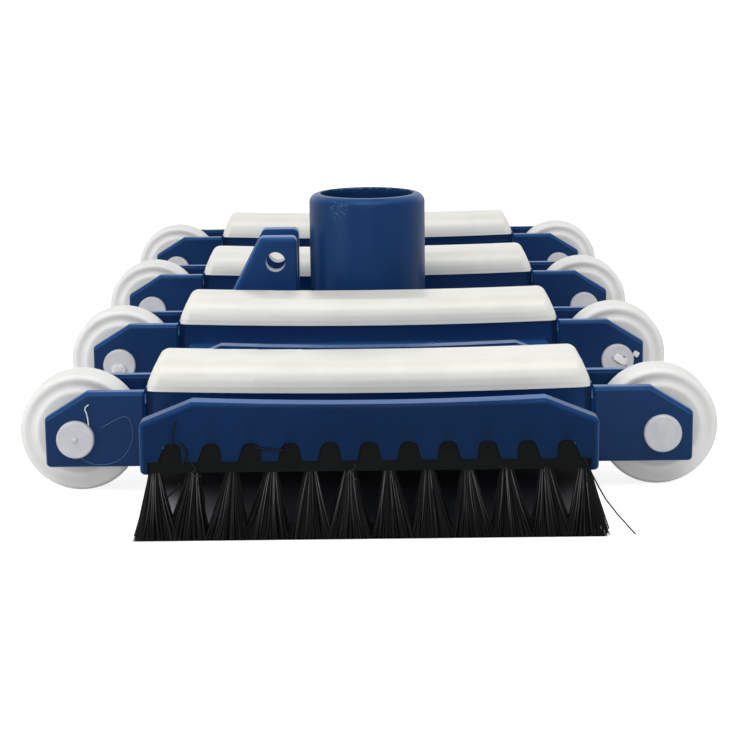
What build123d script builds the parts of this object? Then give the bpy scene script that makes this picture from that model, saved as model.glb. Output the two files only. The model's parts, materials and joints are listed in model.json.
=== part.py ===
from build123d import *
import os

# A weighted, flexible vacuum head for a swimming pool.
# X runs across the head between its wheels, Y along it from brush to brush, Z up.
# The origin is on the floor, under the middle of the hose port. All sizes in millimetres.

# ---- Driving dimensions ----
# Rows of wheels
row_count = 4
row_pitch = 95.0
wheel_diameter = 31.3
wheel_width = 11.0
hub_diameter = 11.0
rim_round = 2.0
valley_depth = 1.1
valley_width = 2.6
valley_round = 1.0
lip_width = 2.6
lip_round = 1.4

# Axle pins
axle_diameter = 5.0
pin_head_diameter = 9.8
pin_head_height = 1.5
pin_head_round = 0.5
pin_barb_height = 2.2
pin_barb_flare = 0.6

# Wheel carriers
yoke_depth = 25.0
yoke_plate = 3.0
yoke_standoff = 3.5
yoke_wall = 1.45
yoke_wall_drop = 4.0
yoke_nose = 7.9
yoke_bottom_z = 8.1
yoke_chamfer_x = 11.0
yoke_chamfer_z = 6.8
yoke_corner = 1.2
yoke_edge = 0.7
beam_top_z = 27.95
beam_web_width = 14.0
beam_sag = 1.0
flange_height = 1.6

# Weight covers and ballast
cover_end_gap = 0.9
cover_height = 7.5
cover_wall = 2.0
cover_foot_height = 1.9
cover_end_slant = 2.8
cover_corner = 3.0
cover_shoulder = 5.0
ballast_end_gap = 3.7
ballast_side_gap = 2.0

# Flexible deck
deck_half_width = 54.5
deck_thickness = 3.5
deck_top_z = 21.45
skirt_thickness = 3.0
skirt_bottom_z = 8.4
skirt_end_gap = 31.0
fold_thickness = 4.4
fold_wall = 1.5
fold_top_z = 28.55
port_boss_height = 1.5
port_boss_wall = 3.35

# Hose port, a 1.5 inch spigot
port_diameter = 38.1
port_bore = 30.8
port_top_z = 60.5
port_rim_round = 2.9
port_lip_round = 0.3
collar_height = 2.5
port_tail = 4.2
washer_height = 1.1
washer_width = 4.8
ring_height = 1.6
ring_depth = 1.0
ring_reach = 2.6
ring_gap = 9.0

# Handle bracket
ear_spread = 26.0
ear_thickness = 6.0
ear_right_x = -23.0
ear_top_z = 47.7
ear_top_width = 11.8
ear_slant = 0.524
ear_corner = 1.8
pivot_diameter = 6.35
pivot_from_right = 7.0
pivot_below_top = 8.0
bracket_base_height = 3.0

# End plates and brushes
plate_front_y = 195.0
plate_thickness = 5.4
plate_overhang = 0.4
plate_top_z = 34.0
rear_plate_top_z = 29.0
plate_top_half_width = 42.2
plate_shoulder_drop = 5.1
plate_lobe_z = 19.4
plate_foot_z = 16.2
plate_foot_width = 1.9
plate_foot_round = 1.2
plate_edge = 1.1
plate_bend_round = 1.5
ledge_depth = 12.0
ledge_height = 3.0
ledge_half_width = 45.0
tuft_count = 12
tuft_end_margin = 1.45
lug_top_z = 23.85
lug_top_width = 3.5
lug_bottom_width = 6.8
lug_round = 1.8
lug_lean = 0.03
strip_bottom_z = 16.75
strip_inset = 0.3
tuft_root_diameter = 2.3
tuft_root_depth = 1.2
tuft_tip_width = 8.6
tuft_tip_depth = 12.6
tuft_lean = 0.03
tuft_floor_gap = 0.3

# Screws
screw_diameter = 3.0
screw_head_diameter = 6.4
screw_head_height = 1.7
screw_slot_width = 1.0
screw_slot_depth = 0.8
carrier_screw_x = 38.0
carrier_screw_grip = 6.0
bracket_screw_grip = 9.0
plate_screw_x = 36.0
plate_screw_grip = 2.2

# Clearances
running_gap = 0.08
seat_gap = 0.1
side_gap = 0.3
wheel_end_gap = 0.8

# ---- Sizes worked out from the driving dimensions ----
wheel_radius = wheel_diameter / 2
axle_z = wheel_radius
axle_radius = axle_diameter / 2
yoke_inner_x = deck_half_width + yoke_standoff
half_track = yoke_inner_x + yoke_wall + wheel_end_gap + wheel_radius
yoke_outer_x = half_track + yoke_nose
cover_half_length = yoke_inner_x - cover_end_gap
ballast_half_length = cover_half_length - cover_end_slant - cover_wall - ballast_end_gap
plate_half_width = deck_half_width + plate_overhang
strip_half_length = plate_half_width - plate_foot_width
tuft_pitch = 2 * (strip_half_length - tuft_end_margin) / (tuft_count - 1)
row_ys = [(row - (row_count - 1) / 2) * row_pitch for row in range(row_count)]
yoke_half = yoke_depth / 2
slot_half = yoke_half - yoke_plate
deck_bottom_z = deck_top_z - deck_thickness
deck_half_length = plate_front_y - plate_thickness
fold_ys = [(row_ys[0] + row_ys[1]) / 2, (row_ys[-2] + row_ys[-1]) / 2]
port_radius = port_diameter / 2
port_boss_radius = port_radius + running_gap + port_boss_wall
flange_half_width = yoke_half - cover_wall - seat_gap
flange_half_length = cover_half_length - cover_wall - side_gap
cover_bottom_z = beam_top_z + seat_gap
cover_foot_z = cover_bottom_z + cover_foot_height
cover_top_z = cover_bottom_z + cover_height
screw_hole_radius = screw_diameter / 2 + running_gap
plate_middle_y = plate_front_y - plate_thickness / 2


def save(piece, name):
    """Name a finished piece and write it to its own STEP file."""
    piece.part.label = name
    export_step(piece.part, f"parts/{name}.step")


def sag_at(x):
    """How far a sagging beam hangs below the line through its ends."""
    return beam_sag * (1 - (x / cover_half_length) ** 2)


def upright(y):
    """The X-Z plane at a given y, facing the front brush."""
    return Plane.XZ.offset(-y)


def sagged_band(half_length, low, high):
    """A long band whose top and bottom follow the sag of the beams, as a sketch."""
    end = sag_at(half_length)
    with BuildSketch(mode=Mode.PRIVATE) as band:
        with BuildLine():
            bottom = ThreePointArc((-half_length, low - end), (0, low - beam_sag), (half_length, low - end))
            top = ThreePointArc((-half_length, high - end), (0, high - beam_sag), (half_length, high - end))
            Line(bottom @ 0, top @ 0)
            Line(bottom @ 1, top @ 1)
        make_face()
    return band.sketch


def shouldered_band(half_length, low, foot_z, high):
    """A cover's side outline: short upright feet, then ends slanting in to a sagging top."""
    top_half = half_length - cover_end_slant
    with BuildSketch(mode=Mode.PRIVATE) as band:
        with BuildLine():
            bottom = ThreePointArc((-half_length, low), (0, low - beam_sag), (half_length, low))
            top = ThreePointArc((-top_half, high), (0, high - beam_sag), (top_half, high))
            Polyline(bottom @ 0, (-half_length, foot_z), top @ 0)
            Polyline(bottom @ 1, (half_length, foot_z), top @ 1)
        make_face()
    return band.sketch


def crested_outline(side, top_z, base_z):
    """The outline shared by the end plates and folds: sloped shoulders and a sagging crest."""
    crest = plate_top_half_width
    with BuildSketch(mode=Mode.PRIVATE) as outline:
        with BuildLine():
            top = ThreePointArc((-crest, top_z), (0, top_z - beam_sag), (crest, top_z))
            Polyline(
                top @ 1,
                (side, top_z - plate_shoulder_drop),
                (side, base_z),
                (-side, base_z),
                (-side, top_z - plate_shoulder_drop),
                top @ 0,
            )
        make_face()
        for bends in outline.vertices().group_by(Axis.Y)[1:]:
            fillet(bends, radius=plate_bend_round)
    return outline.sketch


# ---- Wheel carriers: a centre beam with a forked yoke at each end ----
def make_carrier(row_y):
    with BuildPart() as carrier:
        with BuildSketch(upright(row_y)):
            with BuildLine():
                top = ThreePointArc(
                    (-yoke_inner_x, beam_top_z),
                    (0, beam_top_z - beam_sag),
                    (yoke_inner_x, beam_top_z),
                )
                Polyline(top @ 1, (yoke_inner_x, deck_top_z), (-yoke_inner_x, deck_top_z), top @ 0)
            make_face()
        extrude(amount=beam_web_width / 2, both=True)
        with BuildSketch(upright(row_y)):
            add(sagged_band(flange_half_length, beam_top_z - flange_height / 2, beam_top_z + flange_height))
        extrude(amount=beam_web_width / 2, both=True)
        with BuildSketch(upright(row_y)):
            add(sagged_band(flange_half_length, beam_top_z, beam_top_z + flange_height))
        extrude(amount=flange_half_width, both=True)
        for side in (-1, 1):
            with BuildSketch(upright(row_y)) as outline:
                with BuildLine():
                    Polyline(
                        (side * yoke_inner_x, yoke_bottom_z),
                        (side * yoke_outer_x, yoke_bottom_z),
                        (side * yoke_outer_x, beam_top_z - yoke_chamfer_z),
                        (side * (yoke_outer_x - yoke_chamfer_x), beam_top_z),
                        (side * yoke_inner_x, beam_top_z),
                        close=True,
                    )
                make_face()
                outer_corners = outline.vertices().group_by(Axis.X)[-1 if side > 0 else 0]
                fillet(outer_corners, radius=yoke_corner)
            extrude(amount=yoke_half, both=True)
            slot_start = half_track - wheel_radius - wheel_end_gap
            slot_length = yoke_outer_x - slot_start
            yoke_middle_z = (yoke_bottom_z + beam_top_z) / 2
            with Locations((side * (slot_start + slot_length / 2), row_y, yoke_middle_z)):
                Box(slot_length, 2 * slot_half, beam_top_z - yoke_bottom_z, mode=Mode.SUBTRACT)
            wall_middle_x = yoke_inner_x + yoke_wall / 2
            with Locations((side * wall_middle_x, row_y, beam_top_z - yoke_wall_drop / 2)):
                Box(yoke_wall, 2 * slot_half, yoke_wall_drop, mode=Mode.SUBTRACT)
            cheek_start = deck_half_width + side_gap
            cheek_length = yoke_inner_x - cheek_start
            cheek_height = deck_top_z - yoke_bottom_z
            cheek_middle_z = yoke_bottom_z + cheek_height / 2
            with Locations((side * (cheek_start + cheek_length / 2), row_y, cheek_middle_z)):
                Box(cheek_length, beam_web_width, cheek_height)
        plate_faces = carrier.faces().filter_by(Axis.Y)
        front_rims = plate_faces.group_by(Axis.Y)[0].edges()
        back_rims = plate_faces.group_by(Axis.Y)[-1].edges()
        fillet(front_rims + back_rims, radius=yoke_edge)
        for side in (-1, 1):
            with Locations(Location((side * half_track, row_y, axle_z), (90, 0, 0))):
                Hole(radius=axle_radius + seat_gap)
            with Locations((side * carrier_screw_x, row_y, deck_top_z)):
                Cylinder(
                    radius=screw_hole_radius,
                    height=carrier_screw_grip,
                    align=(Align.CENTER, Align.CENTER, Align.MIN),
                    mode=Mode.SUBTRACT,
                )
    return carrier


# ---- Weight covers: thin white shells over the steel ballast ----
def rounded_bar(row_y, half_length, half_depth, low, high, shoulder):
    """A sagging bar with both long top edges rounded, and its ends left square."""
    with BuildPart(mode=Mode.PRIVATE) as bar:
        with BuildSketch(upright(row_y)):
            add(sagged_band(half_length, low, high))
        extrude(amount=half_depth, both=True)
        long_edges = bar.edges().filter_by(lambda edge: edge.length > half_length).group_by(Axis.Z)[-1]
        fillet(long_edges, radius=shoulder)
    return bar.part


def make_cover(row_y):
    outer_low = cover_bottom_z - beam_sag
    inner_half_depth = yoke_half - cover_wall
    inner_shoulder = cover_shoulder - cover_wall
    inner_low = outer_low - cover_wall
    inner_high = cover_top_z - cover_wall
    inner_half_length = cover_half_length - cover_wall
    with BuildPart() as cover:
        with BuildSketch(upright(row_y)):
            add(shouldered_band(cover_half_length, cover_bottom_z, cover_foot_z, cover_top_z + beam_sag))
        extrude(amount=yoke_half, both=True)
        long_bar = rounded_bar(row_y, yoke_inner_x, yoke_half, outer_low, cover_top_z, cover_shoulder)
        add(long_bar, mode=Mode.INTERSECT)
        end_faces = cover.faces().filter_by(lambda face: abs(face.normal_at().X) > 0.5)
        slants = end_faces.filter_by(lambda face: face.center().Z > cover_foot_z + beam_sag)
        end_edges = [edge for face in slants for edge in face.edges()]
        upper_edges = [edge for edge in end_edges if edge.center().Z > cover_foot_z + beam_sag / 2]
        fillet(upper_edges, radius=cover_corner)
        with BuildPart(mode=Mode.PRIVATE) as cavity:
            with BuildSketch(upright(row_y)):
                add(shouldered_band(inner_half_length, inner_low, cover_foot_z, inner_high + beam_sag))
            extrude(amount=inner_half_depth, both=True)
            lining = rounded_bar(row_y, yoke_inner_x, inner_half_depth, inner_low, inner_high, inner_shoulder)
            add(lining, mode=Mode.INTERSECT)
        add(cavity.part, mode=Mode.SUBTRACT)
    return cover


def make_ballast(row_y):
    with BuildPart() as ballast:
        with BuildSketch(upright(row_y)):
            ballast_bottom_z = beam_top_z + flange_height + seat_gap
            add(sagged_band(ballast_half_length, ballast_bottom_z, cover_top_z - cover_wall - side_gap))
        extrude(amount=flange_half_width - ballast_side_gap, both=True)
    return ballast


# ---- Wheels: a hub, a raised dish, a valley and a round rim lip on both faces ----
def make_wheel(x, row_y):
    bore = axle_radius + running_gap
    hub = hub_diameter / 2
    half = wheel_width / 2
    lip = wheel_radius - lip_width
    valley = lip - valley_width / 2
    dish = lip - valley_width
    hub_end = slot_half - side_gap
    with BuildPart() as wheel:
        with BuildSketch(Plane((x, row_y, axle_z), x_dir=(1, 0, 0), z_dir=(0, 0, 1))) as section:
            with BuildLine():
                Polyline(
                    (bore, -hub_end),
                    (hub, -hub_end),
                    (hub, -half),
                    (dish, -half),
                    (valley, valley_depth - half),
                    (lip, -half),
                    (wheel_radius, -half),
                    (wheel_radius, half),
                    (lip, half),
                    (valley, half - valley_depth),
                    (dish, half),
                    (hub, half),
                    (hub, hub_end),
                    (bore, hub_end),
                    close=True,
                )
            make_face()
            fillet(section.vertices().group_by(Axis.X)[-1], radius=rim_round)
            for radius_at, soft in ((lip, lip_round), (valley, valley_round), (dish, lip_round)):
                corners = section.vertices().filter_by(lambda vertex: abs(vertex.X - radius_at) < running_gap)
                fillet(corners, radius=soft)
        revolve(axis=Axis((x, row_y, axle_z), (0, 1, 0)))
    return wheel


# ---- Axle pins: broad flat heads at the front, snap barbs at the back ----
def make_pin(x, row_y):
    head = pin_head_diameter / 2
    barb = axle_radius + pin_barb_flare
    back = yoke_half + seat_gap
    with BuildPart() as pin:
        with BuildSketch(Plane((x, row_y, axle_z), x_dir=(1, 0, 0), z_dir=(0, 0, 1))):
            with BuildLine():
                rim = JernArc(
                    (head, pin_head_round - pin_head_height - yoke_half),
                    tangent=(0, -1),
                    radius=pin_head_round,
                    arc_size=-90,
                )
                Polyline(
                    rim @ 1,
                    (0, -yoke_half - pin_head_height),
                    (0, back + pin_barb_height),
                    (axle_radius * 0.7, back + pin_barb_height),
                    (barb, back + pin_barb_height / 3),
                    (barb, back),
                    (axle_radius, back),
                    (axle_radius, -yoke_half),
                    (head, -yoke_half),
                    rim @ 0,
                )
            make_face()
        revolve(axis=Axis((x, row_y, axle_z), (0, 1, 0)))
    return pin


# ---- Flexible deck: a tray with side skirts, two folds and a boss for the port ----
def make_deck():
    with BuildPart() as deck:
        with BuildSketch(Plane.XY.offset(deck_bottom_z)):
            Rectangle(2 * deck_half_width, 2 * deck_half_length)
        extrude(amount=deck_thickness)
        skirt_height = deck_bottom_z - skirt_bottom_z
        skirt_x = deck_half_width - skirt_thickness / 2
        with BuildSketch(Plane.XY.offset(skirt_bottom_z)):
            with Locations((-skirt_x, 0), (skirt_x, 0)):
                Rectangle(skirt_thickness, 2 * (deck_half_length - skirt_end_gap))
        extrude(amount=skirt_height)
        for fold_y in fold_ys:
            with BuildSketch(upright(fold_y)):
                add(crested_outline(deck_half_width, fold_top_z, deck_bottom_z))
            extrude(amount=fold_thickness / 2, both=True)
            with BuildSketch(upright(fold_y)):
                add(crested_outline(deck_half_width - skirt_thickness, fold_top_z - fold_wall, deck_bottom_z))
            extrude(amount=fold_thickness / 2 - fold_wall, both=True, mode=Mode.SUBTRACT)
        with BuildSketch(Plane.XY.offset(deck_top_z)):
            Circle(port_boss_radius)
        extrude(amount=port_boss_height)
        with BuildSketch(Plane.XY.offset(deck_bottom_z)):
            Circle(port_radius + running_gap)
        extrude(amount=deck_thickness + port_boss_height, mode=Mode.SUBTRACT)
        with BuildSketch(Plane.XY.offset(deck_bottom_z)):
            for row_y in row_ys:
                with Locations((-carrier_screw_x, row_y), (carrier_screw_x, row_y)):
                    Circle(screw_hole_radius)
            with Locations(*bracket_screw_places):
                Circle(screw_hole_radius)
            with Locations(*plate_screw_places):
                Circle(screw_hole_radius)
        extrude(amount=deck_thickness, mode=Mode.SUBTRACT)
    return deck


# ---- Hose port: a plain spigot that swivels in the deck ----
def make_port():
    tail_z = deck_bottom_z - port_tail
    collar_z = deck_top_z + port_boss_height + seat_gap
    groove_top_z = deck_bottom_z - washer_height - 2 * seat_gap
    with BuildPart() as port:
        with BuildSketch(Plane.XZ) as section:
            with BuildLine():
                Polyline(
                    (port_bore / 2, tail_z),
                    (port_radius, tail_z),
                    (port_radius, groove_top_z - ring_height - seat_gap),
                    (port_radius - ring_depth, groove_top_z - ring_height - seat_gap),
                    (port_radius - ring_depth, groove_top_z),
                    (port_radius, groove_top_z),
                    (port_radius, collar_z),
                    (port_boss_radius, collar_z),
                    (port_boss_radius, collar_z + collar_height),
                    (port_radius, collar_z + collar_height),
                    (port_radius, port_top_z),
                    (port_bore / 2, port_top_z),
                    close=True,
                )
            make_face()
            inner_rim, outer_rim = section.vertices().group_by(Axis.Y)[-1].sort_by(Axis.X)
            fillet(outer_rim, radius=port_rim_round)
            fillet(inner_rim, radius=port_lip_round)
        revolve(axis=Axis.Z)
    return port


def make_washer():
    with BuildPart() as washer:
        with BuildSketch(Plane.XY.offset(deck_bottom_z - washer_height - seat_gap)):
            Circle(port_radius + running_gap + washer_width)
            Circle(port_radius + running_gap, mode=Mode.SUBTRACT)
        extrude(amount=washer_height)
    return washer


def make_retaining_ring():
    groove_top_z = deck_bottom_z - washer_height - 2 * seat_gap
    with BuildPart() as ring:
        with BuildSketch(Plane.XY.offset(groove_top_z - ring_height - seat_gap / 2)):
            Circle(port_radius + ring_reach)
            Circle(port_radius - ring_depth + running_gap, mode=Mode.SUBTRACT)
            with Locations((0, -port_radius)):
                Rectangle(ring_gap, port_radius, mode=Mode.SUBTRACT)
        extrude(amount=ring_height)
    return ring


# ---- Handle bracket: two ears with a cross hole for the pole handle's pivot ----
ear_left_top_x = ear_right_x - ear_top_width
ear_foot_x = ear_left_top_x - ear_slant * (ear_top_z - deck_top_z)
ear_middle = (ear_spread - ear_thickness) / 2
bracket_screw_xs = (ear_foot_x + 2 * ear_thickness, ear_right_x - ear_thickness)
bracket_screw_places = [(x, y) for x in bracket_screw_xs for y in (-ear_middle, ear_middle)]
plate_screw_y = deck_half_length - ledge_depth / 2
plate_screw_xs = (-plate_screw_x, 0, plate_screw_x)
plate_screw_places = [(x, y) for x in plate_screw_xs for y in (-plate_screw_y, plate_screw_y)]


def make_bracket():
    with BuildPart() as bracket:
        with BuildSketch(Plane.XZ) as outline:
            with BuildLine():
                Polyline(
                    (ear_right_x, deck_top_z),
                    (ear_right_x, ear_top_z),
                    (ear_left_top_x, ear_top_z),
                    (ear_foot_x, deck_top_z),
                    close=True,
                )
            make_face()
            fillet(outline.vertices().sort_by(Axis.Y)[-2:], radius=ear_corner)
        extrude(amount=ear_spread / 2, both=True)
        slot_height = ear_top_z - deck_top_z - bracket_base_height
        slot_width = ear_right_x - ear_foot_x
        slot_middle_z = ear_top_z - slot_height / 2
        with Locations(((ear_right_x + ear_foot_x) / 2, 0, slot_middle_z)):
            Box(slot_width, ear_spread - 2 * ear_thickness, slot_height, mode=Mode.SUBTRACT)
        outer_rims = bracket.faces().filter_by(Axis.Y).group_by(Axis.Y)
        fillet(outer_rims[0].edges() + outer_rims[-1].edges(), radius=yoke_edge)
        pivot_place = (ear_right_x - pivot_from_right, 0, ear_top_z - pivot_below_top)
        with Locations(Location(pivot_place, (90, 0, 0))):
            Hole(radius=pivot_diameter / 2)
        with BuildSketch(Plane.XY.offset(deck_top_z)):
            with Locations(*bracket_screw_places):
                Circle(screw_hole_radius)
        extrude(amount=bracket_screw_grip, mode=Mode.SUBTRACT)
    return bracket


# ---- End plates, brush strips and bristle tufts, one set at each end ----
lug_xs = [(index - (tuft_count - 2) / 2) * tuft_pitch for index in range(tuft_count - 1)]
tuft_xs = [(index - (tuft_count - 1) / 2) * tuft_pitch for index in range(tuft_count)]


def lug_row(grow):
    """The outlines of all the brush lugs, each grown by a clearance, as one sketch.

    The lugs' feet lean away from the middle, as the tufts beside them do.
    """
    half_top = lug_top_width / 2 + grow
    half_bottom = lug_bottom_width / 2 + grow
    with BuildSketch(mode=Mode.PRIVATE) as lugs:
        for lug_x in lug_xs:
            foot_x = lug_x * (1 + lug_lean)
            with BuildSketch(mode=Mode.PRIVATE) as lug:
                with BuildLine():
                    Polyline(
                        (foot_x - half_bottom, strip_bottom_z),
                        (foot_x + half_bottom, strip_bottom_z),
                        (lug_x + half_top, lug_top_z + grow),
                        (lug_x - half_top, lug_top_z + grow),
                        close=True,
                    )
                make_face()
                fillet(lug.vertices().sort_by(Axis.Y)[-2:], radius=lug_round)
            add(lug.sketch)
    return lugs.sketch


def make_end_plate(side, top_z):
    middle_y = side * plate_middle_y
    with BuildPart() as plate:
        with BuildSketch(upright(middle_y)) as outline:
            add(crested_outline(plate_half_width, top_z, plate_foot_z))
            fillet(outline.vertices().group_by(Axis.Y)[0], radius=plate_foot_round)
            with Locations((0, (plate_foot_z + plate_lobe_z) / 2)):
                Rectangle(2 * strip_half_length, plate_lobe_z - plate_foot_z, mode=Mode.SUBTRACT)
            add(lug_row(seat_gap), mode=Mode.SUBTRACT)
        extrude(amount=plate_thickness / 2, both=True)
        outer_face = plate.faces().filter_by(Axis.Y).sort_by(Axis.Y)[-1 if side > 0 else 0]
        side_x = plate_half_width - plate_edge
        rim = outer_face.edges().filter_by(
            lambda edge: edge.bounding_box().max.Z > top_z - plate_shoulder_drop - plate_edge
            or abs(edge.center().X) > side_x
        )
        fillet(rim, radius=plate_edge)
        with Locations((0, side * (deck_half_length - ledge_depth / 2), deck_top_z + ledge_height / 2)):
            Box(2 * ledge_half_width, ledge_depth, ledge_height)
        with BuildSketch(Plane.XY.offset(deck_top_z)):
            with Locations(*[(x, side * plate_screw_y) for x in plate_screw_xs]):
                Circle(screw_hole_radius)
        extrude(amount=plate_screw_grip, mode=Mode.SUBTRACT)
    return plate


def make_brush_strip(side):
    strip_half = strip_half_length - seat_gap
    strip_top_z = plate_lobe_z - seat_gap
    with BuildPart() as strip:
        with BuildSketch(upright(side * plate_middle_y)):
            with Locations((0, (strip_bottom_z + strip_top_z) / 2)):
                Rectangle(2 * strip_half, strip_top_z - strip_bottom_z)
            add(lug_row(0))
        extrude(amount=plate_thickness / 2 - strip_inset, both=True)
        with BuildSketch(Plane.XY.offset(strip_bottom_z)):
            with Locations(*[(x, side * plate_middle_y) for x in tuft_xs]):
                Circle(tuft_root_diameter / 2 + running_gap)
        extrude(amount=tuft_root_depth, mode=Mode.SUBTRACT)
    return strip


def make_tufts(side):
    with BuildPart() as tufts:
        for x in tuft_xs:
            with BuildSketch(Plane.XY.offset(strip_bottom_z)):
                with Locations((x, side * plate_middle_y)):
                    Circle(tuft_root_diameter / 2)
            extrude(amount=tuft_root_depth)
            with BuildSketch(Plane.XY.offset(strip_bottom_z)):
                with Locations((x, side * plate_middle_y)):
                    Circle(tuft_root_diameter / 2)
            with BuildSketch(Plane.XY.offset(tuft_floor_gap)):
                with Locations((x * (1 + tuft_lean), side * plate_middle_y)):
                    Ellipse(tuft_tip_width / 2, tuft_tip_depth / 2)
            loft(ruled=True)
    return tufts


# ---- Screws, all driven up from under the deck ----
def make_screws(places, grip):
    with BuildPart() as screws:
        head_z = deck_bottom_z - screw_head_height
        with BuildSketch(Plane.XY.offset(head_z)):
            with Locations(*places):
                Circle(screw_head_diameter / 2)
        extrude(amount=screw_head_height)
        with BuildSketch(Plane.XY.offset(deck_bottom_z)):
            with Locations(*places):
                Circle(screw_diameter / 2)
        extrude(amount=deck_thickness + grip - seat_gap)
        with BuildSketch(Plane.XY.offset(head_z)):
            with Locations(*places):
                Rectangle(screw_head_diameter, screw_slot_width)
        extrude(amount=screw_slot_depth, mode=Mode.SUBTRACT)
    return screws


for number, row_y in enumerate(row_ys, start=1):
    save(make_carrier(row_y), f"wheel_carrier_{number}")
    save(make_cover(row_y), f"weight_cover_{number}")
    save(make_ballast(row_y), f"ballast_bar_{number}")
    for side, hand in ((-1, "left"), (1, "right")):
        save(make_wheel(side * half_track, row_y), f"wheel_{number}_{hand}")
        save(make_pin(side * half_track, row_y), f"axle_pin_{number}_{hand}")

save(make_deck(), "flex_deck")
save(make_port(), "hose_port")
save(make_washer(), "port_washer")
save(make_retaining_ring(), "port_retaining_ring")
save(make_bracket(), "handle_bracket")

for side, end, crest_z in ((-1, "front", plate_top_z), (1, "rear", rear_plate_top_z)):
    save(make_end_plate(side, crest_z), f"end_plate_{end}")
    save(make_brush_strip(side), f"brush_strip_{end}")
    save(make_tufts(side), f"bristle_tufts_{end}")

carrier_screw_places = [(x, y) for x in (-carrier_screw_x, carrier_screw_x) for y in row_ys]
save(make_screws(carrier_screw_places, carrier_screw_grip), "carrier_screws")
save(make_screws(bracket_screw_places, bracket_screw_grip), "bracket_screws")
save(make_screws(plate_screw_places, plate_screw_grip), "end_plate_screws")
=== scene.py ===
"""Looks of a weighted, flexible pool vacuum head: finishes, bristles and small moulding marks."""

import json
import logging
import math
import random
from dataclasses import dataclass
from enum import Enum
from functools import partialmethod
from typing import Iterable, Sequence

import bpy
from mathutils import Matrix, Vector

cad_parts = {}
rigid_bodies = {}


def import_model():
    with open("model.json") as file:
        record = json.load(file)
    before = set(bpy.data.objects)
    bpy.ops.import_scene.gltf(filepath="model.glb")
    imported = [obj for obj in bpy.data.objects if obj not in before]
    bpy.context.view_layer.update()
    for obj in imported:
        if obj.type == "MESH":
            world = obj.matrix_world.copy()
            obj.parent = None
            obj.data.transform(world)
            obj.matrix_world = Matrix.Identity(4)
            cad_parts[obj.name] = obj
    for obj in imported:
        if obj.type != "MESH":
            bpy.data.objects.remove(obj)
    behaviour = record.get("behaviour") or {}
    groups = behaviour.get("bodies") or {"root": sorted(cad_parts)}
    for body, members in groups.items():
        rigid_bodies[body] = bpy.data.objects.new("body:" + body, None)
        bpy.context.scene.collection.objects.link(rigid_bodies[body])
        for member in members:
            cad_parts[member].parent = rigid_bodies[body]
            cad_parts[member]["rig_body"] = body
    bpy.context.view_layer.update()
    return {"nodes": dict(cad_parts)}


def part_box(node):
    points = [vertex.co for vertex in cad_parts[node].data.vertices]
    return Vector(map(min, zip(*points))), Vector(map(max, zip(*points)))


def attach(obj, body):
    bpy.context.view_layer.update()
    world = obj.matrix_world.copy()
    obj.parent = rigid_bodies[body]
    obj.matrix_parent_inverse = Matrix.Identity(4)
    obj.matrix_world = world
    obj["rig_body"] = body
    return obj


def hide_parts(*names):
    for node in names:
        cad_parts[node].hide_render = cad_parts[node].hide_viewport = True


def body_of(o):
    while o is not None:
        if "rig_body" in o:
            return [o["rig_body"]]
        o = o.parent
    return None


LOG = logging.getLogger("vacuum_head")
MM = 0.001
ENDS = ("front", "rear")
AXLE_X, AXLE_Z = 75.9 * MM, 15.65 * MM
TUFT_PITCH = 9.37 * MM

Colour = tuple[float, float, float, float]
Point = tuple[float, float, float]
Span = tuple[float, float]


def srgb(red: int, green: int, blue: int) -> Colour:
    """Turn a colour as seen on a screen, 0 to 255, into the linear values that shaders use."""
    levels = (value / 255 for value in (red, green, blue))
    return (*(v / 12.92 if v <= 0.04045 else ((v + 0.055) / 1.055) ** 2.4 for v in levels), 1.0)


def grey(level: float) -> Colour:
    """A linear grey."""
    return level, level, level, 1.0


class Slot(Enum):
    """The record's material slots."""

    BLUE_PLASTIC = "blue_plastic"
    BLUE_VINYL = "blue_vinyl"
    PORT_BLUE = "port_blue"
    COVER_WHITE = "cover_white"
    WHEEL_WHITE = "wheel_white"
    PIN_WHITE = "pin_white"
    WASHER_NYLON = "washer_nylon"
    STRIP_BLACK = "strip_black"
    BRISTLE_BLACK = "bristle_black"
    BALLAST_STEEL = "ballast_steel"
    SCREW_STEEL = "screw_steel"


# ---------- Shader graphs ----------
class Wire:
    """One output of a node; arithmetic on it adds Math nodes."""

    def __init__(self, graph: "Graph", socket: bpy.types.NodeSocket) -> None:
        """Keep the output and the graph that it belongs to."""
        self.graph, self.socket = graph, socket

    def math(self, operation: str, *others: object) -> "Wire":
        """The result of one Math node whose first operand is this wire."""
        return self.graph.wire("ShaderNodeMath", dict(enumerate((self, *others))), operation=operation)

    __abs__ = partialmethod(math, "ABSOLUTE")
    __add__ = __radd__ = partialmethod(math, "ADD")
    __sub__ = partialmethod(math, "SUBTRACT")
    __mul__ = __rmul__ = partialmethod(math, "MULTIPLY")
    __truediv__ = partialmethod(math, "DIVIDE")
    __pow__ = partialmethod(math, "POWER")
    least = partialmethod(math, "MINIMUM")
    most = partialmethod(math, "MAXIMUM")

    def __rsub__(self, other: float) -> "Wire":
        """A plain number less this wire."""
        return self.graph.wire("ShaderNodeMath", {0: other, 1: self}, operation="SUBTRACT")

    def ramp(self, low: float, high: float) -> "Wire":
        """Bring this wire smoothly from 0 at low to 1 at high."""
        inputs = {"Value": self, "From Min": low, "From Max": high}
        return self.graph.wire("ShaderNodeMapRange", inputs, interpolation_type="SMOOTHSTEP")


def spread(first: Wire, second: Wire) -> Wire:
    """The distance from where both of two coordinates are 0."""
    return (first * first + second * second).math("SQRT")


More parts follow.
